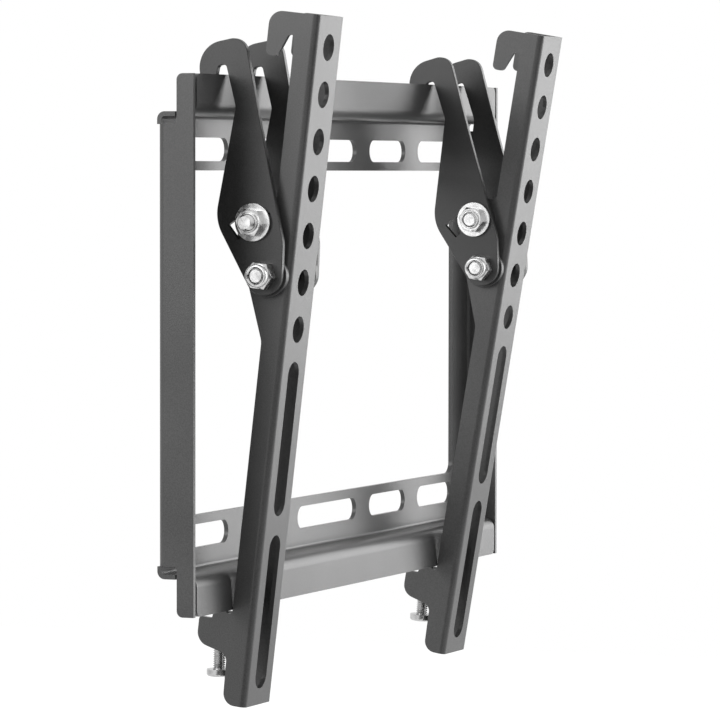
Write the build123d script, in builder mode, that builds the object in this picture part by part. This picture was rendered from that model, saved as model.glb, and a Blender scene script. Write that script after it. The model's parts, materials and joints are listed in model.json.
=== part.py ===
from build123d import *
from math import acos, asin, atan2, cos, degrees, hypot, radians, sin, sqrt
import os

# Tilting TV wall bracket, in millimetres. The back of the wall plate lies on the wall plane Y = 0,
# the front faces -Y, +Z is up, and the origin is the middle of the plate.

# Wall plate, one stamped and folded sheet
plate_width = 261.0
plate_height = 170.0
plate_depth = 12.5
sheet = 1.5
side_strip = 16.5
rail_strip = 16.95
lip_height = 13.3
window_corner = 4.0
front_bend = 4.0
rear_bend = 2.5
side_bend = 2.5
relief_gap = 2.5
tab_width = 5.8
tab_gap = 0.5
tab_corner = 2.0
lip_end_gap = 1.0
lip_corner = 2.5

# Slots for the wall screws, in a row along each rail
wall_slot_width = 7.5
wall_slot_length = 32.5
middle_slot_length = 50.0
slot_row_drop = 10.2
slot_end_margin = 17.5

# TV arms, two identical channels, each at its own place and tilt
arm_width = 21.0
arm_length = 221.2
arm_bend = 2.0
flange_depth = 7.5
left_arm_inset = 39.1
right_arm_inset = 48.3
left_tilt = 6.65
right_tilt = 9.59
largest_tilt = 10.0
foot_tail = 30.35
lip_offset = 1.25
foot_notch_width = 2.1
foot_notch_play = 1.2
foot_depth = 19.0
foot_shoulder = 3.5
foot_toe = 11.8
finger_height = 7.7
pivot_height = 107.5
clamp_rise = 16.3
clamp_set_back = 5.2
ear_depth = 19.8
hook_depth = 16.8
hook_drop = 14.3
hook_notch_down = 7.2
tv_hole_diameter = 8.5
tv_hole_first = 10.0
tv_hole_pitch = 15.0
tv_hole_count = 7
tv_slot_width = 8.4
tv_slot_first = 110.4
tv_slot_gap = 6.2
tv_slot_end_margin = 5.25

# Link plates
link_thickness = 2.0
link_end_radius = 6.3
link_front = 8.0
link_front_wall = 2.5
link_back_wall = 4.1
link_hook_back = 9.5
link_hook_height = 7.6
link_finger_length = 9.0
link_edge_round = 0.25
hook_offset = 1.4
notch_play = 0.6
arc_slot_play = 0.4
link_play = 0.1

# Bolts, nuts, washers and spacers
bolt_diameter = 5.0
bolt_hole_play = 0.1
bolt_running_play = 0.05
hex_across_flats = 8.0
bolt_head_height = 3.5
pivot_nut_hex_height = 4.4
pivot_nut_collar_height = 1.9
pivot_nut_collar_diameter = 7.4
pivot_bolt_end = -0.4
clamp_nut_hex_height = 2.9
clamp_nut_collar_height = 0.9
clamp_nut_collar_diameter = 6.3
clamp_bolt_end = 2.3
left_clamp_slack = 0.1
right_clamp_slack = 2.2
washer_diameter = 12.0
washer_thickness = 1.2
pivot_spacer_diameter = 14.0
clamp_spacer_diameter = 12.0
spacer_thickness = 2.3

# Lock screw and the tab that it is threaded in
screw_diameter = 4.0
screw_thread_play = 0.05
screw_head_diameter = 8.0
screw_head_height = 2.3
screw_length = 24.5
screw_slant = 5.5
screw_side_offset = 4.7
left_screw_drive = 0.4
right_screw_drive = 1.9
screw_head_below_hinge = 20.7
screw_head_behind_hinge = 3.95
screw_tab_rise = 14.6
screw_tab_size = 8.4
recess_width = 1.1
recess_span = 4.4
recess_depth = 1.5

# Places that follow from the sizes above
half_width = plate_width / 2
half_height = plate_height / 2
shelf_inside = half_height - lip_height
shelf_outside = shelf_inside + sheet
bolt_radius = bolt_diameter / 2
lip_middle = -plate_depth + sheet / 2
hinge_down = arm_length - foot_tail
hinge_depth = flange_depth + lip_offset
pivot_down = hinge_down - pivot_height
clamp_radius = hypot(clamp_rise, clamp_set_back)
clamp_angle = degrees(atan2(clamp_set_back, clamp_rise))
spacer_face = arm_width / 2 + spacer_thickness
link_inside = spacer_face + link_play
link_outside = link_inside + link_thickness
nut_face = link_outside + link_play
washer_face = nut_face + washer_thickness
pivot_nut_end = nut_face + pivot_nut_hex_height + pivot_nut_collar_height
clamp_nut_end = washer_face + clamp_nut_hex_height + clamp_nut_collar_height

arms = (
    ("left", -half_width + left_arm_inset, left_tilt, left_clamp_slack, left_screw_drive),
    ("right", half_width - right_arm_inset, right_tilt, right_clamp_slack, right_screw_drive),
)


def arm_point(x, tilt, down, depth):
    """The world point that lies down from an arm's top and depth behind its front face."""
    rise = hinge_down - down
    back = depth - hinge_depth
    y = lip_middle - rise * sin(radians(tilt)) + back * cos(radians(tilt))
    z = -half_height + rise * cos(radians(tilt)) + back * sin(radians(tilt))
    return Vector(x, y, z)


def arm_side(x, tilt, down=0.0, depth=0.0):
    """Plane of an arm's flange: local x towards the wall, local y up the arm, normal +X."""
    towards_wall = Vector(0, cos(radians(tilt)), sin(radians(tilt)))
    return Plane(arm_point(x, tilt, down, depth), x_dir=towards_wall, z_dir=(1, 0, 0))


def arm_front(x, tilt):
    """Plane of an arm's front face: local x along +X, local y up the arm, normal to the front."""
    forwards = Vector(0, -cos(radians(tilt)), -sin(radians(tilt)))
    return Plane(arm_point(x, tilt, 0, 0), x_dir=(1, 0, 0), z_dir=forwards)


def arm_end(x, tilt):
    """Plane across an arm at its top: local x along +X, local y to the front, normal down the arm."""
    downwards = Vector(0, sin(radians(tilt)), -cos(radians(tilt)))
    return Plane(arm_point(x, tilt, 0, 0), x_dir=(1, 0, 0), z_dir=downwards)


def link_lean(tilt):
    """How far a link leans towards the wall, and how far up the link the lip's edge is."""
    pivot = arm_point(0, tilt, pivot_down, flange_depth)
    back = lip_middle - pivot.Y
    rise = half_height - pivot.Z
    distance = hypot(back, rise)
    return degrees(atan2(back, rise) - asin(hook_offset / distance)), sqrt(distance**2 - hook_offset**2)


def link_side(x, tilt):
    """Plane of a link at its pivot: local x towards the wall, local y towards the lip, normal +X."""
    lean = radians(link_lean(tilt)[0])
    pivot = arm_point(x, tilt, pivot_down, flange_depth)
    return Plane(pivot, x_dir=(0, cos(lean), -sin(lean)), z_dir=(1, 0, 0))


# A link turns by this many degrees on its arm for each degree that the arm tilts
link_turn = (link_lean(largest_tilt)[0] - link_lean(0)[0] + largest_tilt) / largest_tilt
reach_flat = link_lean(0)[1]
reach_tilted = link_lean(largest_tilt)[1]


def clamp_bearing(tilt, rest_tilt):
    """Angle of the clamp bolt in its link, from the pivot, when an arm at rest_tilt goes to tilt."""
    at_rest = clamp_angle - rest_tilt - link_lean(rest_tilt)[0]
    return at_rest - link_turn * (tilt - rest_tilt)


# The arc slot in a link, wide enough for the clamp bolt from one end of the tilt to the other
slot_inner = clamp_radius - bolt_radius - arc_slot_play
slot_outer = clamp_radius + bolt_radius + arc_slot_play
slot_bearings = [
    clamp_bearing(end, rest)
    for side, x, rest, slack, drive in arms
    for end in (0, largest_tilt)
]
slot_end_turn = degrees(asin((bolt_radius + arc_slot_play / 2) / clamp_radius))
slot_back = max(slot_bearings) + slot_end_turn
slot_front = min(slot_bearings) - slot_end_turn


def save(piece, name):
    """Label a finished piece and write it as its own file."""
    piece.part.label = name
    export_step(piece.part, f"parts/{name}.step")


def rail_section():
    """Outline of the folded sheet from lip to lip, as (Y, Z) corners and bend radii."""
    front = -plate_depth
    return (
        (front, half_height, 0),
        (front, shelf_inside, front_bend),
        (-sheet, shelf_inside, rear_bend - sheet),
        (-sheet, -shelf_inside, rear_bend - sheet),
        (front, -shelf_inside, front_bend),
        (front, -half_height, 0),
        (front + sheet, -half_height, 0),
        (front + sheet, -shelf_outside, front_bend - sheet),
        (0, -shelf_outside, rear_bend),
        (0, shelf_outside, rear_bend),
        (front + sheet, shelf_outside, front_bend - sheet),
        (front + sheet, half_height, 0),
    )


def rounded_outline(corners):
    """Closed line through (x, y, radius) corners, in the BuildLine block that is open."""
    FilletPolyline(
        [(x, y) for x, y, radius in corners],
        radius=[radius for x, y, radius in corners],
        close=True,
    )


def build_wall_plate():
    """The wall plate: web, window, slots, two rails and two side plates from one sheet."""
    side_top = shelf_inside - relief_gap
    lip_end = half_width - sheet - lip_end_gap
    window = (plate_width - 2 * side_strip, 2 * (shelf_inside - rail_strip))
    slot_gap = (half_width - slot_end_margin - middle_slot_length / 2 - 2 * wall_slot_length) / 2
    inner_slot = middle_slot_length / 2 + slot_gap + wall_slot_length / 2
    outer_slot = inner_slot + wall_slot_length + slot_gap
    slot_row = shelf_inside - slot_row_drop
    with BuildPart() as wall_plate:
        # Side plates, folded forward from the web with a tab up each end of the lips
        with BuildSketch(Plane.XY):
            with BuildLine():
                rounded_outline((
                    (half_width - side_strip, 0, 0),
                    (half_width, 0, side_bend),
                    (half_width, -plate_depth, 0),
                    (half_width - sheet, -plate_depth, 0),
                    (half_width - sheet, -sheet, side_bend - sheet),
                    (half_width - side_strip, -sheet, 0),
                ))
            make_face()
            mirror(about=Plane.YZ)
        extrude(amount=half_height, both=True)
        with BuildSketch(Plane.YZ):
            with BuildLine():
                rounded_outline((
                    (tab_width - plate_depth, side_top, tab_corner / 2),
                    (tab_width - plate_depth, half_height, 0),
                    (tab_width - plate_depth + tab_corner, half_height + sheet, 0),
                    (sheet, half_height + sheet, 0),
                    (sheet, side_top, 0),
                ))
            make_face()
            mirror(about=Plane.XZ)
        extrude(amount=plate_width, both=True, mode=Mode.SUBTRACT)
        tab_tips = wall_plate.edges().filter_by(Axis.X)
        tab_tips = tab_tips.filter_by(lambda edge: abs(abs(edge.center().Z) - half_height) < sheet / 10)
        fillet(tab_tips.sort_by(Axis.Y)[-4:], tab_corner)

        # Web and rails, then the ends of the shelves behind the tabs with their bends
        with BuildSketch(Plane.YZ):
            with BuildLine():
                rounded_outline(rail_section())
            make_face()
        extrude(amount=lip_end, both=True)
        with BuildSketch(Plane.YZ):
            with BuildLine():
                rounded_outline(rail_section())
            make_face()
            shelf_back = plate_depth - tab_width - tab_gap
            with Locations((-shelf_back / 2, 0)):
                Rectangle(shelf_back, plate_height, mode=Mode.INTERSECT)
            Rectangle(2 * plate_depth, 2 * side_top, mode=Mode.SUBTRACT)
        extrude(amount=half_width, both=True)

        # Window and slots through the web
        with BuildSketch(Plane.XZ):
            RectangleRounded(*window, window_corner)
            with GridLocations(2 * outer_slot, 2 * slot_row, 2, 2):
                SlotOverall(wall_slot_length, wall_slot_width)
            with GridLocations(2 * inner_slot, 2 * slot_row, 2, 2):
                SlotOverall(wall_slot_length, wall_slot_width)
            with GridLocations(1, 2 * slot_row, 1, 2):
                SlotOverall(middle_slot_length, wall_slot_width)
        extrude(amount=2 * sheet, both=True, mode=Mode.SUBTRACT)

        # Rounded free corners of the lips
        lip_tips = wall_plate.edges().filter_by(Axis.Y)
        lip_tips = lip_tips.filter_by(
            lambda edge: abs(abs(edge.center().Z) - half_height) < sheet / 10
            and abs(abs(edge.center().X) - lip_end) < sheet / 10
        )
        fillet(lip_tips, lip_corner)
    return wall_plate


def flange_outline():
    """Side view of an arm, as (depth, height, radius) corners with the height measured from its top."""
    notch_front = hinge_depth - foot_notch_width / 2
    notch_back = hinge_depth + foot_notch_width / 2
    notch_round = 0.48 * foot_notch_width
    notch_bottom = hinge_down + foot_notch_play
    finger_top = hinge_down - finger_height
    ear_top = pivot_down - clamp_rise - 7.9
    return (
        (0, 0, 0),
        (hook_depth, 0, 4.5),
        (hook_depth, -hook_drop, 1.8),
        (hook_depth - 4.0, -hook_drop, 1.5),
        (flange_depth + 2.1, -hook_notch_down, 0.9),
        (flange_depth, -hook_notch_down, 0.9),
        (flange_depth, -ear_top, 1.5),
        (ear_depth, -ear_top, 4.0),
        (ear_depth, -(ear_top + 13.4), 4.0),
        (notch_front, -(pivot_down + 21.1), 6.0),
        (notch_front, -notch_bottom, notch_round),
        (notch_back, -notch_bottom, notch_round),
        (notch_back + 1.9, -finger_top, 1.0),
        (notch_back + 4.6, -finger_top, 1.2),
        (notch_back + 4.6, -(hinge_down + foot_shoulder), 0.8),
        (foot_depth, -(hinge_down + foot_shoulder), 1.0),
        (foot_depth, -(hinge_down + foot_toe), 4.5),
        (notch_front + 0.4, -(hinge_down + foot_toe + 2.5), 3.0),
        (notch_front, -arm_length, 4.0),
        (0, -arm_length, 0),
    )


def screw_axis(x, tilt):
    """Plane across the lock screw under its head: local x along +X, normal up the screw."""
    lean = radians(tilt - screw_slant)
    down = hinge_down + screw_head_below_hinge
    origin = arm_point(x - screw_side_offset, tilt, down, hinge_depth + screw_head_behind_hinge)
    return Plane(origin, x_dir=(1, 0, 0), z_dir=(0, -sin(lean), cos(lean)))


def build_arm(x, tilt):
    """A TV arm: a channel with its holes, hooks, ears, foot notches and lock screw tab."""
    inner_width = arm_width - 2 * sheet
    with BuildPart() as arm:
        # Channel, cut to the side view of its two flanges
        with BuildSketch(arm_end(x, tilt)):
            with Locations((0, -ear_depth / 2)):
                Rectangle(arm_width, ear_depth)
            with Locations((0, -sheet - ear_depth / 2)):
                Rectangle(inner_width, ear_depth, mode=Mode.SUBTRACT)
        extrude(amount=arm_length)
        front_edges = arm.edges().filter_by(lambda edge: edge.length > arm_length - sheet)
        towards_wall = arm_side(x, tilt).x_dir
        front_edges = front_edges.sort_by(lambda edge: edge.center().dot(towards_wall))
        fillet(front_edges[0:2], arm_bend)
        fillet(arm.edges().filter_by(lambda edge: edge.length > arm_length - sheet).filter_by(
            lambda edge: abs(abs(edge.center().X - x) - inner_width / 2) < sheet / 10
            and (edge.center() - arm_point(x, tilt, arm_length / 2, sheet)).dot(towards_wall) < sheet / 10
        ), arm_bend / 4)
        with BuildSketch(arm_side(x, tilt)):
            with BuildLine():
                rounded_outline(flange_outline())
            make_face()
        extrude(amount=arm_width, both=True, mode=Mode.INTERSECT)

        # Holes and slots for the TV's screws
        tv_slot_length = (arm_length - tv_slot_first - tv_slot_gap - tv_slot_end_margin) / 2
        slot_step = tv_slot_length + tv_slot_gap
        with BuildSketch(arm_front(x, tilt)):
            for number in range(tv_hole_count):
                with Locations((0, -tv_hole_first - number * tv_hole_pitch)):
                    Circle(tv_hole_diameter / 2)
            for number in range(2):
                with Locations((0, -tv_slot_first - tv_slot_length / 2 - number * slot_step)):
                    SlotOverall(tv_slot_length, tv_slot_width, rotation=90)
        extrude(amount=-2 * sheet, mode=Mode.SUBTRACT)

        # Bolt holes through both flanges
        with BuildSketch(arm_side(x, tilt, pivot_down, flange_depth)):
            with Locations((0, 0), (clamp_set_back, clamp_rise)):
                Circle(bolt_radius + bolt_hole_play)
        extrude(amount=arm_width, both=True, mode=Mode.SUBTRACT)

        # Tab across the foot for the lock screw, folded from the flange on the nuts' side
        with BuildSketch(screw_axis(x, tilt).offset(screw_tab_rise)):
            flange_face = screw_side_offset - arm_width / 2 + sheet / 2
            tab_end = screw_tab_size / 2
            with Locations(((flange_face + tab_end) / 2, 0)):
                Rectangle(tab_end - flange_face, screw_tab_size)
            Circle(screw_diameter / 2 + screw_thread_play, mode=Mode.SUBTRACT)
        extrude(amount=sheet)
    return arm


def tangent_point(corner, turn):
    """Where a line from a corner touches the round end of a link, on the side that turn gives."""
    x, y, radius = corner
    bearing = atan2(y, x) + turn * acos(link_end_radius / hypot(x, y))
    return link_end_radius * cos(bearing), link_end_radius * sin(bearing), 0


def link_outline():
    """Side view of a link from its pivot, as (towards the wall, up, radius) corners."""
    notch_front = hook_offset - sheet / 2 - notch_play
    notch_back = hook_offset + sheet / 2 + notch_play
    notch_top = reach_tilted + notch_play
    link_top = notch_top + link_hook_height
    finger_end = notch_top - link_finger_length
    neck = reach_flat - lip_height + 1.2 * front_bend
    front_belly = (-(slot_outer * sin(radians(-slot_front)) + link_front_wall), 9.0, 12.0)
    back_belly = (slot_outer * sin(radians(slot_back)) + link_back_wall, 1.25 * clamp_rise, 13.0)
    return (
        tangent_point(front_belly, 1),
        front_belly,
        (-link_front, 0.6 * link_top, 40.0),
        (-link_front, link_top, 5.0),
        (link_hook_back, link_top, 8.5),
        (link_hook_back, finger_end, 1.4),
        (link_hook_back - 3.1, finger_end, 1.2),
        (notch_back, notch_top, 1.1),
        (notch_front, notch_top, 1.1),
        (notch_front - 0.7, neck, 4.5),
        back_belly,
        tangent_point(back_belly, -1),
    )


def build_link(x, tilt, face):
    """A link plate whose near face lies at face from the arm's middle, growing towards +X."""
    first = 90 - slot_back
    sweep = slot_back - slot_front
    with BuildPart() as link:
        with BuildSketch(link_side(x + face, tilt)):
            with BuildLine():
                rounded_outline(link_outline())
            make_face()
            Circle(link_end_radius)
            Circle(bolt_radius + bolt_running_play, mode=Mode.SUBTRACT)
            with BuildLine():
                outer = CenterArc((0, 0), slot_outer, first, sweep)
                inner = CenterArc((0, 0), slot_inner, first, sweep)
                Line(outer @ 0, inner @ 0)
                Line(outer @ 1, inner @ 1)
            make_face(mode=Mode.SUBTRACT)
        extrude(amount=link_thickness)
        for side_face in (link.faces().sort_by(Axis.X)[0], link.faces().sort_by(Axis.X)[-1]):
            fillet(side_face.outer_wire().edges(), link_edge_round)
    return link


def build_ring(plane, start, thickness, diameter):
    """A flat ring on a bolt, such as a spacer or a washer."""
    with BuildPart() as ring:
        with BuildSketch(plane.offset(start)):
            Circle(diameter / 2)
            Circle(bolt_radius + bolt_hole_play, mode=Mode.SUBTRACT)
        extrude(amount=thickness)
        rims = ring.edges().filter_by(GeomType.CIRCLE).filter_by(lambda edge: edge.radius > bolt_diameter)
        fillet(rims, thickness / 10)
    return ring


def crown_plane(plane):
    """Plane through a hex's axis: local x out from the axis, local y along the axis."""
    return Plane(plane.origin, x_dir=plane.x_dir, z_dir=-plane.y_dir)


def crown_outline(height, turn):
    """Half section that takes the corners off a hex, in the BuildLine block that is open."""
    flat = hex_across_flats / 2
    Polyline(
        (0, 0),
        (flat * 1.3, 0),
        (flat * 1.3, turn * height * 0.7),
        (flat * 1.16, turn * height * 0.82),
        (flat * 0.96, turn * height),
        (0, turn * height),
        close=True,
    )


def build_bolt(plane, head_face, bolt_end):
    """A hex bolt along an axis, from its head's underside at head_face to its end on the -X side."""
    shank = bolt_end + head_face
    with BuildPart() as bolt:
        with BuildSketch(plane.offset(head_face)):
            RegularPolygon(hex_across_flats / 2, 6, major_radius=False)
        extrude(amount=bolt_head_height)
        with BuildSketch(crown_plane(plane.offset(head_face))):
            with BuildLine():
                crown_outline(bolt_head_height, 1)
            make_face()
        revolve(axis=Axis(plane.origin, plane.z_dir), mode=Mode.INTERSECT)
        with BuildSketch(plane.offset(head_face)):
            Circle(bolt_radius)
        extrude(amount=-shank)
        tip = bolt.edges().filter_by(GeomType.CIRCLE).sort_by(Axis.X)[0]
        chamfer(tip, bolt_diameter / 12)
    return bolt


def build_nut(plane, face, hex_height, collar_height, collar_diameter):
    """A lock nut against face on the -X side: a hex with a round collar."""
    with BuildPart() as nut:
        with BuildSketch(plane.offset(-face)):
            RegularPolygon(hex_across_flats / 2, 6, major_radius=False)
        extrude(amount=-hex_height)
        with BuildSketch(crown_plane(plane.offset(-face))):
            with BuildLine():
                crown_outline(hex_height, -1)
            make_face()
        revolve(axis=Axis(plane.origin, plane.z_dir), mode=Mode.INTERSECT)
        with BuildSketch(plane.offset(-face - hex_height)):
            Circle(collar_diameter / 2)
        extrude(amount=-collar_height)
        fillet(nut.edges().filter_by(GeomType.CIRCLE).sort_by(Axis.X)[0], collar_height / 3)
        with BuildSketch(plane.offset(-face)):
            Circle(bolt_radius + bolt_running_play)
        extrude(amount=-hex_height - collar_height, mode=Mode.SUBTRACT)
        collar_wall = (collar_diameter - bolt_diameter) / 2 - bolt_running_play
        bore_chamfer = 0.35 * collar_wall
        with BuildSketch(plane.offset(-face - hex_height - collar_height)):
            Circle(bolt_radius + bolt_running_play + bore_chamfer)
        extrude(amount=bore_chamfer, taper=45, mode=Mode.SUBTRACT)
    return nut


def build_lock_screw(x, tilt, drive):
    """The pan head screw that locks an arm's foot under the bottom rail, driven this far up its tab."""
    under_head = screw_axis(x, tilt).offset(drive)
    with BuildPart() as screw:
        with BuildSketch(under_head):
            Circle(screw_head_diameter / 2)
        extrude(amount=-screw_head_height)
        head_rim = screw.edges().filter_by(GeomType.CIRCLE).sort_by(Axis.Z)[0]
        fillet(head_rim, screw_head_height / 2.5)
        with BuildSketch(under_head.offset(-screw_head_height)):
            Rectangle(recess_span, recess_width)
            Rectangle(recess_width, recess_span)
        extrude(amount=recess_depth, taper=8, mode=Mode.SUBTRACT)
        with BuildSketch(under_head):
            Circle(screw_diameter / 2)
        extrude(amount=screw_length)
        chamfer(screw.edges().filter_by(GeomType.CIRCLE).sort_by(Axis.Z)[-1], screw_diameter / 10)
    return screw


os.makedirs("parts", exist_ok=True)
save(build_wall_plate(), "wall_plate")

for side, x, tilt, slack, drive in arms:
    pivot = arm_side(x, tilt, pivot_down, flange_depth)
    clamp = arm_side(x, tilt, pivot_down - clamp_rise, flange_depth + clamp_set_back)
    save(build_arm(x, tilt), f"{side}_arm")
    save(build_link(x, tilt, -link_outside), f"{side}_link_nut_side")
    save(build_link(x, tilt, link_inside), f"{side}_link_head_side")
    for place, plane, diameter in (
        ("pivot", pivot, pivot_spacer_diameter),
        ("clamp", clamp, clamp_spacer_diameter),
    ):
        nut_side = build_ring(plane, -spacer_face, spacer_thickness, diameter)
        head_side = build_ring(plane, arm_width / 2, spacer_thickness, diameter)
        save(nut_side, f"{side}_{place}_spacer_nut_side")
        save(head_side, f"{side}_{place}_spacer_head_side")
    save(build_ring(clamp, -washer_face, washer_thickness, washer_diameter), f"{side}_clamp_washer_nut_side")
    save(build_ring(clamp, nut_face, washer_thickness, washer_diameter), f"{side}_clamp_washer_head_side")
    pivot_nut_sizes = (pivot_nut_hex_height, pivot_nut_collar_height, pivot_nut_collar_diameter)
    clamp_nut_sizes = (clamp_nut_hex_height, clamp_nut_collar_height, clamp_nut_collar_diameter)
    clamp_end = clamp_nut_end + clamp_bolt_end
    save(build_bolt(pivot, nut_face, pivot_nut_end + pivot_bolt_end), f"{side}_pivot_bolt")
    save(build_bolt(clamp.offset(slack), washer_face, clamp_end), f"{side}_clamp_bolt")
    save(build_nut(pivot, nut_face, *pivot_nut_sizes), f"{side}_pivot_nut")
    save(build_nut(clamp, washer_face, *clamp_nut_sizes), f"{side}_clamp_nut")
    save(build_lock_screw(x, tilt, drive), f"{side}_lock_screw")
    print(f"{side}: link leans {link_lean(tilt)[0]:.2f} degrees, reach {link_lean(tilt)[1]:.2f} mm")
print(f"link turns {link_turn:.4f} degrees for each degree of tilt")
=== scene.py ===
# %% [markdown]
# A tilting TV wall bracket, dressed for a studio picture.
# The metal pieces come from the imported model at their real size. This script gives them their finishes,
# cuts the threads that are too fine for the model, and sets the lights and the camera.

# %% Load the frame
import bmesh
import bpy
import json
from math import ceil, cos, radians, sin
from mathutils import Matrix, Vector


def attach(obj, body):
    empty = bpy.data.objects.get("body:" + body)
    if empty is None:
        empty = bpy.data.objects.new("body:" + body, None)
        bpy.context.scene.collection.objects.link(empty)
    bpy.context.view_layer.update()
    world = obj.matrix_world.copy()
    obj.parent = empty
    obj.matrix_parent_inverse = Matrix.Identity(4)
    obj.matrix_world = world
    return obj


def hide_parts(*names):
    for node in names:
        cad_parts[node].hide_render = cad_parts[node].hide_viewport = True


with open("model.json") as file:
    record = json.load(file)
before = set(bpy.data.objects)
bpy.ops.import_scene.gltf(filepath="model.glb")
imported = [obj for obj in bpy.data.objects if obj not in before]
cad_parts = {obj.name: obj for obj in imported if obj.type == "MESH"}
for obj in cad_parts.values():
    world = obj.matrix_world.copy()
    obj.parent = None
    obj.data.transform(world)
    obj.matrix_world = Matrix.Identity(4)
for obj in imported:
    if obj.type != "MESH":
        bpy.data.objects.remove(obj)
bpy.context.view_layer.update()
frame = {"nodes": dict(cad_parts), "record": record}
nodes = frame["nodes"]
behaviour = frame["record"]["behaviour"]
scene = bpy.context.scene
millimetre = 0.001

# %% [markdown]
# Powder coat is a paint that is sprayed as dust and melted on. Under a lens its skin is a field of low
# round bumps, under half a millimetre across, with a satin sheen. Two noise textures, one of that size and
# one finer, follow the piece's own coordinates and give the bumps and the small changes of colour and
# gloss. A third, far wider noise stands for the way the coat is a little thicker here and thinner there.
# The effect is a node group, so that each coat can use it with its own strength.

# %% Node helpers
def new_group(name, inputs, outputs):
    """An empty shader node group with named sockets, and its input and output nodes."""
    group = bpy.data.node_groups.new(name, "ShaderNodeTree")
    for socket, kind, value in inputs:
        group.interface.new_socket(name=socket, in_out="INPUT", socket_type=kind).default_value = value
    for socket, kind in outputs:
        group.interface.new_socket(name=socket, in_out="OUTPUT", socket_type=kind)
    return group, group.nodes.new("NodeGroupInput"), group.nodes.new("NodeGroupOutput")


def noise(tree, place, scale, detail):
    """A noise texture of so many features per metre, at a coordinate socket."""
    node = tree.nodes.new("ShaderNodeTexNoise")
    node.inputs["Scale"].default_value = scale
    node.inputs["Detail"].default_value = detail
    tree.links.new(place, node.inputs["Vector"])
    return node.outputs["Fac"]


def span(tree, value, low, high, from_low=0.35, from_high=0.65):
    """A noise, which mostly lies between from_low and from_high, stretched to run from low to high."""
    node = tree.nodes.new("ShaderNodeMapRange")
    node.inputs["From Min"].default_value = from_low
    node.inputs["From Max"].default_value = from_high
    node.inputs["To Min"].default_value = low
    node.inputs["To Max"].default_value = high
    tree.links.new(value, node.inputs["Value"])
    return node.outputs["Result"]


def combine(tree, operation, first, second):
    """One calculation on two values, each a socket or a number."""
    node = tree.nodes.new("ShaderNodeMath")
    node.operation = operation
    for number, value in enumerate((first, second)):
        if isinstance(value, (int, float)):
            node.inputs[number].default_value = value
        else:
            tree.links.new(value, node.inputs[number])
    return node.outputs["Value"]


def blend_colours(tree, share, first, second):
    """A mix of two colours, each a socket or a grey level."""
    node = tree.nodes.new("ShaderNodeMix")
    node.data_type = "RGBA"
    tree.links.new(share, node.inputs["Factor"])
    for name, value in (("A", first), ("B", second)):
        if isinstance(value, (int, float)):
            node.inputs[name].default_value = (value, value, value, 1)
        else:
            tree.links.new(value, node.inputs[name])
    return node.outputs["Result"]


def raise_bumps(tree, height, depth):
    """A bump node that raises a surface by a height socket, at most by this depth."""
    node = tree.nodes.new("ShaderNodeBump")
    node.inputs["Distance"].default_value = depth
    tree.links.new(height, node.inputs["Height"])
    return node


print("node helpers are ready")

# %% Orange peel of a powder coat
peel_share = 0.6
grain_share = 0.6
peel_depth = 0.06 * millimetre


def make_powder_skin():
    """Node group: colour, roughness and normal of a powder coat."""
    group, entry, result = new_group(
        "powder_skin",
        (
            ("Dark", "NodeSocketColor", (0.05, 0.05, 0.05, 1)),
            ("Light", "NodeSocketColor", (0.08, 0.08, 0.08, 1)),
            ("Bump", "NodeSocketFloat", 0.2),
            ("Gloss change", "NodeSocketFloat", 0.04),
            ("Roughness", "NodeSocketFloat", 0.4),
        ),
        (("Color", "NodeSocketColor"), ("Roughness", "NodeSocketFloat"), ("Normal", "NodeSocketVector")),
    )
    place = group.nodes.new("ShaderNodeTexCoord").outputs["Object"]
    peel = combine(group, "MULTIPLY", noise(group, place, scale=2600, detail=2), peel_share)
    speck = combine(group, "MULTIPLY", noise(group, place, scale=5200, detail=1), 1 - peel_share)
    grain = combine(group, "ADD", peel, speck)
    cloud = noise(group, place, scale=22, detail=2)
    fine_tone = span(group, grain, 0, grain_share, from_low=0.36, from_high=0.64)
    tone = combine(group, "ADD", fine_tone, span(group, cloud, 0, 1 - grain_share))
    colour = blend_colours(group, tone, entry.outputs["Dark"], entry.outputs["Light"])
    group.links.new(colour, result.inputs["Color"])
    wander = combine(group, "MULTIPLY", span(group, grain, -1, 1), entry.outputs["Gloss change"])
    group.links.new(combine(group, "ADD", entry.outputs["Roughness"], wander), result.inputs["Roughness"])
    bump = raise_bumps(group, grain, peel_depth)
    group.links.new(entry.outputs["Bump"], bump.inputs["Strength"])
    group.links.new(bump.outputs["Normal"], result.inputs["Normal"])
    return group


powder_skin = make_powder_skin()
print("built the powder skin with", len(powder_skin.nodes), "nodes")

# %% [markdown]
# The wall plate and the arms have the same dark grey coat. The links and the spacers are nearly black.
# A coat is not a metal to the light: it mirrors a few percent of what is in front of it, and far more
# where it is seen at a low angle, so the arms' front faces shine while their sides stay dark.

# %% Materials of the coated steel
def new_material(name):
    """A material with a Principled shader, and that shader."""
    material = bpy.data.materials.new(name)
    material.use_nodes = True
    return material, material.node_tree.nodes["Principled BSDF"]


def powder_coat(name, dark, light, roughness, bump):
    """Dark powder coat on steel, between two grey levels."""
    material, shader = new_material(name)
    tree = material.node_tree
    skin = tree.nodes.new("ShaderNodeGroup")
    skin.node_tree = powder_skin
    skin.inputs["Dark"].default_value = (dark, dark, dark, 1)
    skin.inputs["Light"].default_value = (light, light, light, 1)
    skin.inputs["Roughness"].default_value = roughness
    skin.inputs["Bump"].default_value = bump
    tree.links.new(skin.outputs["Color"], shader.inputs["Base Color"])
    tree.links.new(skin.outputs["Roughness"], shader.inputs["Roughness"])
    tree.links.new(skin.outputs["Normal"], shader.inputs["Normal"])
    shader.inputs["IOR"].default_value = 1.5
    return material


plate_coat = powder_coat("plate_coat", dark=0.04, light=0.09, roughness=0.34, bump=0.45)
arm_coat = powder_coat("arm_coat", dark=0.04, light=0.09, roughness=0.34, bump=0.45)
link_coat = powder_coat("link_coat", dark=0.014, light=0.042, roughness=0.36, bump=0.45)
print("coats:", plate_coat.name, arm_coat.name, link_coat.name)

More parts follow.
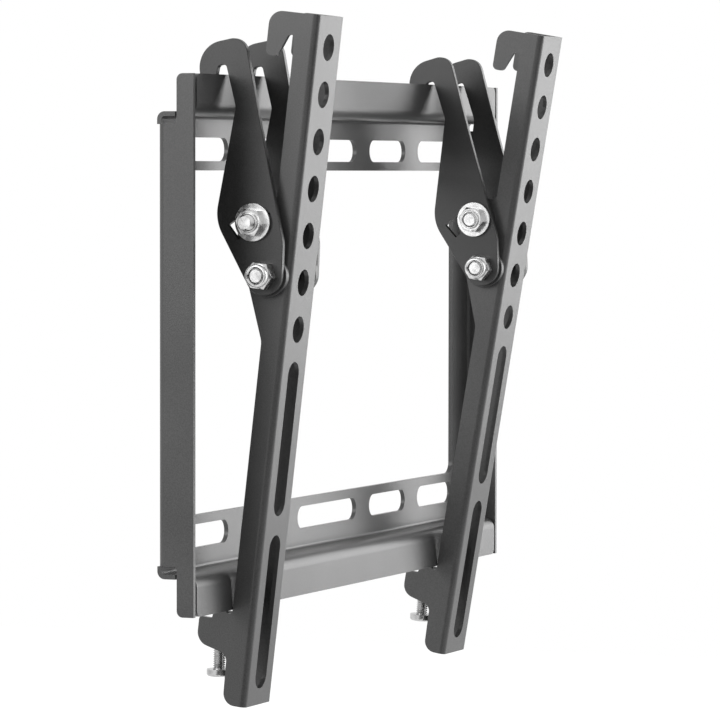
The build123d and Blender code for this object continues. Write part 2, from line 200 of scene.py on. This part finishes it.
# %% [markdown]
# The bolts, nuts and washers are zinc plated. Zinc is a bright metal, a little cloudy, with a fine grain,
# so the colour and the roughness wander over a few millimetres and a weak bump breaks up the mirror.
# The lock screws under the bottom rail get a darker copy of the zinc, as painted shade for their place
# under the rail.

# %% Material of the zinc plated fasteners
zinc_grain_depth = 0.03 * millimetre
zinc_grain_strength = 0.12


def zinc_plating(name, dull, bright):
    """Bright zinc plate on small steel fasteners, between two grey levels."""
    material, shader = new_material(name)
    tree = material.node_tree
    place = tree.nodes.new("ShaderNodeTexCoord").outputs["Object"]
    cloud = noise(tree, place, scale=400, detail=3)
    grain = noise(tree, place, scale=4000, detail=2)
    shader.inputs["Metallic"].default_value = 1.0
    tree.links.new(blend_colours(tree, span(tree, cloud, 0, 1), dull, bright), shader.inputs["Base Color"])
    tree.links.new(span(tree, cloud, 0.2, 0.34), shader.inputs["Roughness"])
    bump = raise_bumps(tree, grain, zinc_grain_depth)
    bump.inputs["Strength"].default_value = zinc_grain_strength
    tree.links.new(bump.outputs["Normal"], shader.inputs["Normal"])
    return material


zinc = zinc_plating("zinc_plate", dull=0.52, bright=0.7)
# Painted shade: the lock screws' zinc is made darker for their place under the bottom rail.
shaded_screw_zinc = zinc_plating("shaded_screw_zinc", dull=0.4, bright=0.58)
print("plating:", zinc.name, shaded_screw_zinc.name)

# %% [markdown]
# Folded steel with its bends and holes is already right in the model, so those meshes stay and only get a
# finish. Each piece is one node of the model, and the words in its name say which finish it has.

# %% Give every piece its finish
def finish_of(node):
    """The material of one piece of the bracket."""
    if node == "wall_plate":
        return plate_coat
    if node.endswith("_arm"):
        return arm_coat
    if "_link_" in node or "_spacer_" in node:
        return link_coat
    # The lock screws take the darker zinc, which is painted shade.
    if node.endswith("_lock_screw"):
        return shaded_screw_zinc
    return zinc


def dress(mesh, node):
    """Give a mesh the finish of its piece, and no other."""
    mesh.materials.clear()
    mesh.materials.append(finish_of(node))


for node in nodes:
    dress(nodes[node].data, node)
print("dressed", len(nodes), "pieces")

# %% [markdown]
# The model's bolts and screws have plain shanks. A real thread is one ridge wound round a core, so one
# V of the thread is drawn as four short edges, and spun round the axis while it moves one pitch along for
# each turn. It is wound too long at both ends and then cut flat. The tip gets a small chamfer, as a real
# screw has so that it finds its hole.

# %% Wind a thread
steps_in_turn = 28
spare_turns = 2
thread_depth = 0.58
weld_distance = 0.0001 * millimetre
turn_weld_distance = 0.001 * millimetre


def cut_flat(shape, place, normal):
    """Cut a mesh by a plane, drop what lies on the normal's side and close the cut."""
    bmesh.ops.bisect_plane(
        shape, geom=shape.verts[:] + shape.edges[:] + shape.faces[:], dist=weld_distance,
        plane_co=place, plane_no=normal, clear_outer=True,
    )
    rim = [edge for edge in shape.edges if edge.is_boundary]
    bmesh.ops.holes_fill(shape, edges=rim, sides=0)


def wound_thread(start, along, length, crest, pitch):
    """A threaded rod from start, its ends cut flat across the axis."""
    thread = bmesh.new()
    across = along.orthogonal().normalized()
    core = crest - thread_depth * pitch
    # Each point of the ridge is a distance from the axis and a share of the pitch.
    ridge = ((core, 0), (crest, 0.36), (crest, 0.52), (core, 0.88), (core, 1))
    low = start - spare_turns * pitch * along
    corners = [thread.verts.new(low + across * radius + along * share * pitch) for radius, share in ridge]
    lines = [thread.edges.new(pair) for pair in zip(corners, corners[1:])]
    turns = ceil(length / pitch) + 2 * spare_turns
    bmesh.ops.spin(
        thread, geom=corners + lines, cent=low, axis=along, dvec=along * pitch / steps_in_turn,
        angle=radians(360 * turns), steps=steps_in_turn * turns,
    )
    bmesh.ops.remove_doubles(thread, verts=thread.verts, dist=turn_weld_distance)
    bmesh.ops.recalc_face_normals(thread, faces=thread.faces)
    cut_flat(thread, start + along * length, along)
    cut_flat(thread, start, -along)
    bmesh.ops.recalc_face_normals(thread, faces=thread.faces)
    return thread


def chamfer_tip(thread, tip, along, crest, width):
    """Draw a rod's last points in towards its axis, which leaves a chamfer of this width."""
    for corner in thread.verts:
        from_tip = (tip - corner.co).dot(along)
        spoke = corner.co - (tip - along * from_tip)
        widest = crest - width + max(from_tip, 0)
        if spoke.length > widest:
            corner.co -= spoke * (1 - widest / spoke.length)


print("a turn of thread has", steps_in_turn, "steps")

# %% [markdown]
# Each bolt and lock screw keeps the model's own head. The end of its plain shank is cut off and a thread
# takes its place, so the piece is as long as before. The new piece stands for the model's one and rides on
# the same body: the bolts on their arm, and each lock screw on its own slide. The bolts lie across the arm
# with their nuts on the left, and a lock screw points along its slide.

# %% Thread the bolts and the lock screws
screw_thread = 24.4 * millimetre
screw_crest = 2.0 * millimetre
screw_pitch = 0.7 * millimetre
bolt_thread = 9 * millimetre
bolt_crest = 2.5 * millimetre
bolt_pitch = 0.8 * millimetre
root_overlap = 0.3
tip_chamfer = 0.2
towards_nut = Vector((-1, 0, 0))
joint_axes = {joint["name"]: Vector(joint["axis"]).normalized() for joint in behaviour["joints"]}


def reach(shape, way):
    """The lowest and highest place of a mesh along a direction."""
    places = [corner.co.dot(way) for corner in shape.verts]
    return min(places), max(places)


def thread_fastener(node, body, along, thread_length, crest, pitch):
    """Replace a bolt or screw by a copy whose last thread_length is threaded."""
    piece_mesh = nodes[node].data.copy()
    shape = bmesh.new()
    shape.from_mesh(piece_mesh)
    bmesh.ops.remove_doubles(shape, verts=shape.verts, dist=weld_distance)
    across = along.orthogonal().normalized()
    third = along.cross(across)
    middle = across * sum(reach(shape, across)) / 2 + third * sum(reach(shape, third)) / 2
    tip = reach(shape, along)[1]
    root = middle + along * (tip - thread_length)
    cut_flat(shape, root, along)
    buried_root = root - along * pitch * root_overlap
    thread = wound_thread(buried_root, along, thread_length + pitch * root_overlap, crest, pitch)
    chamfer_tip(thread, middle + along * tip, along, crest, tip_chamfer * crest)
    thread_mesh = bpy.data.meshes.new("thread")
    thread.to_mesh(thread_mesh)
    thread.free()
    shape.from_mesh(thread_mesh)
    bpy.data.meshes.remove(thread_mesh)
    shape.to_mesh(piece_mesh)
    shape.free()
    dress(piece_mesh, node)
    piece = bpy.data.objects.new(node + "_threaded", piece_mesh)
    scene.collection.objects.link(piece)
    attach(piece, body)
    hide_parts(node)


for side in ("left", "right"):
    screw = side + "_lock_screw"
    thread_fastener(screw, screw, joint_axes[screw + "_travel"], screw_thread, screw_crest, screw_pitch)
    for bolt in (side + "_pivot_bolt", side + "_clamp_bolt"):
        thread_fastener(bolt, side + "_arm", towards_nut, bolt_thread, bolt_crest, bolt_pitch)
print("cut the threads of six fasteners")

# %% [markdown]
# The picture was taken from the left, almost level, with a long lens. The aim point, turn, distance and
# lens were worked out from the photograph.

# %% Camera
view_turn = radians(67.0)
view_drop = radians(2.418)
view_roll = radians(0.079)
view_distance = 1.47254
lens_in_pixels = 4476.38
picture_width = 720
aim = Vector((-0.038857, -0.030, -0.007472))

towards = Vector((sin(view_turn) * cos(view_drop), cos(view_turn) * cos(view_drop), -sin(view_drop)))
camera = bpy.data.objects.new("camera", bpy.data.cameras.new("camera"))
scene.collection.objects.link(camera)
camera.data.sensor_width = 36.0
camera.data.lens = lens_in_pixels * camera.data.sensor_width / picture_width
camera.data.clip_end = 50.0
camera.location = aim - towards * view_distance
level = towards.to_track_quat("-Z", "Y").to_matrix()
camera.rotation_euler = (level @ Matrix.Rotation(view_roll, 3, "Z")).to_euler()
scene.camera = camera
print("camera at", tuple(round(value, 4) for value in camera.location))

# %% [markdown]
# The bracket stands before plain white. The world is white to the camera and in the metal's mirror, and
# gives a weaker, even light to everything else. The floor is white paint to the light, and mostly a white
# glow to the camera and the mirror, so that it keeps a faint shadow.

# %% White to the camera and the mirror
even_light = 0.43
scene.view_settings.view_transform = "Standard"


def white_rays(tree):
    """A mask that is 1 for what the camera, a reflection or clear glass sees directly."""
    rays = tree.nodes.new("ShaderNodeLightPath")
    seen = combine(tree, "MAXIMUM", rays.outputs["Is Camera Ray"], rays.outputs["Is Glossy Ray"])
    return combine(tree, "MAXIMUM", seen, rays.outputs["Is Transmission Ray"])


def white_glow(tree, kind, strength):
    """The shader socket of a background or emission node that shines white."""
    node = tree.nodes.new(kind)
    node.inputs["Color"].default_value = (1, 1, 1, 1)
    node.inputs["Strength"].default_value = strength
    return node.outputs[0]


def mix_shaders(tree, share, first, second):
    """A mix of two shader sockets, by a share that is a socket or a number."""
    blend = tree.nodes.new("ShaderNodeMixShader")
    if isinstance(share, float):
        blend.inputs[0].default_value = share
    else:
        tree.links.new(share, blend.inputs[0])
    tree.links.new(first, blend.inputs[1])
    tree.links.new(second, blend.inputs[2])
    return blend.outputs[0]


world = bpy.data.worlds.new("studio")
scene.world = world
world.use_nodes = True
tree = world.node_tree
tree.nodes.clear()
sky = tree.nodes.new("ShaderNodeOutputWorld")
dim = white_glow(tree, "ShaderNodeBackground", even_light)
white = white_glow(tree, "ShaderNodeBackground", 1)
tree.links.new(mix_shaders(tree, white_rays(tree), dim, white), sky.inputs["Surface"])
print("the world lights the bracket at", even_light)

# %% Floor
floor_width = 6
floor_height = -0.45
floor_glow = 1.2
floor_glow_share = 0.85


def flat_mesh(name, size, height=0):
    """A level rectangle of this size, at a height."""
    shape = bmesh.new()
    bmesh.ops.create_grid(shape, x_segments=1, y_segments=1, size=0.5)
    bmesh.ops.scale(shape, verts=shape.verts, vec=(*size, 1))
    bmesh.ops.translate(shape, verts=shape.verts, vec=(0, 0, height))
    mesh = bpy.data.meshes.new(name)
    shape.to_mesh(mesh)
    shape.free()
    return mesh


def plain_paint(name, grey, roughness):
    """A material of one grey level, and its shader."""
    material, shader = new_material(name)
    shader.inputs["Base Color"].default_value = (grey, grey, grey, 1)
    shader.inputs["Roughness"].default_value = roughness
    return material, shader


floor_mesh = flat_mesh("floor", (floor_width, floor_width), floor_height)
floor = bpy.data.objects.new("floor", floor_mesh)
scene.collection.objects.link(floor)

floor_white, shader = plain_paint("floor_white", grey=0.9, roughness=0.8)
tree = floor_white.node_tree
paint = shader.outputs[0]
glow = mix_shaders(tree, floor_glow_share, paint, white_glow(tree, "ShaderNodeEmission", floor_glow))
surface = tree.nodes["Material Output"].inputs["Surface"]
tree.links.new(mix_shaders(tree, white_rays(tree), paint, glow), surface)
floor_mesh.materials.append(floor_white)
print("the floor is white, at height", floor_height)

# %% [markdown]
# One wide soft panel stands to the right and front. Seen from the left, the front faces mirror it at a
# low angle, which makes them shine, and the bends run from that shine to the dark of the sides. A smaller,
# weaker panel stands behind on the left, where the left sides mirror it. Two dark cards that the camera
# cannot see stand on the left, one in front and one low down. The bends and the bright zinc mirror them,
# which gives both their dark lines.

# %% Lamps and cards
bracket_middle = Vector((0, -0.02, 0))


def face_bracket(thing, place):
    """Put a lamp or a card in the scene, its flat side towards the bracket's middle."""
    thing.location = Vector(place)
    thing.rotation_euler = (bracket_middle - thing.location).to_track_quat("-Z", "Y").to_euler()
    scene.collection.objects.link(thing)


def soft_panel(name, place, size, power):
    """A soft rectangular lamp that faces the bracket's middle."""
    light = bpy.data.objects.new(name, bpy.data.lights.new(name, "AREA"))
    light.data.shape = "RECTANGLE"
    light.data.size, light.data.size_y = size
    light.data.energy = power
    face_bracket(light, place)


def dark_card(name, place, size):
    """A dark card that shows in the metal's mirror and not to the camera."""
    mesh = flat_mesh(name, size)
    mesh.materials.append(plain_paint(name, grey=0.02, roughness=0.9)[0])
    board = bpy.data.objects.new(name, mesh)
    face_bracket(board, place)
    board.visible_camera = False
    board.visible_diffuse = False
    board.visible_shadow = False


soft_panel("right_panel", place=(1.15, -0.85, 0.28), size=(1.3, 1.1), power=15)
soft_panel("left_panel", place=(-1.05, 0.45, 0.42), size=(0.6, 0.6), power=5)
dark_card("front_card", place=(-0.55, -1.35, 0.0), size=(0.8, 1.4))
dark_card("low_card", place=(-0.7, -0.3, -0.42), size=(0.7, 0.7))
print("two soft panels and two dark cards")
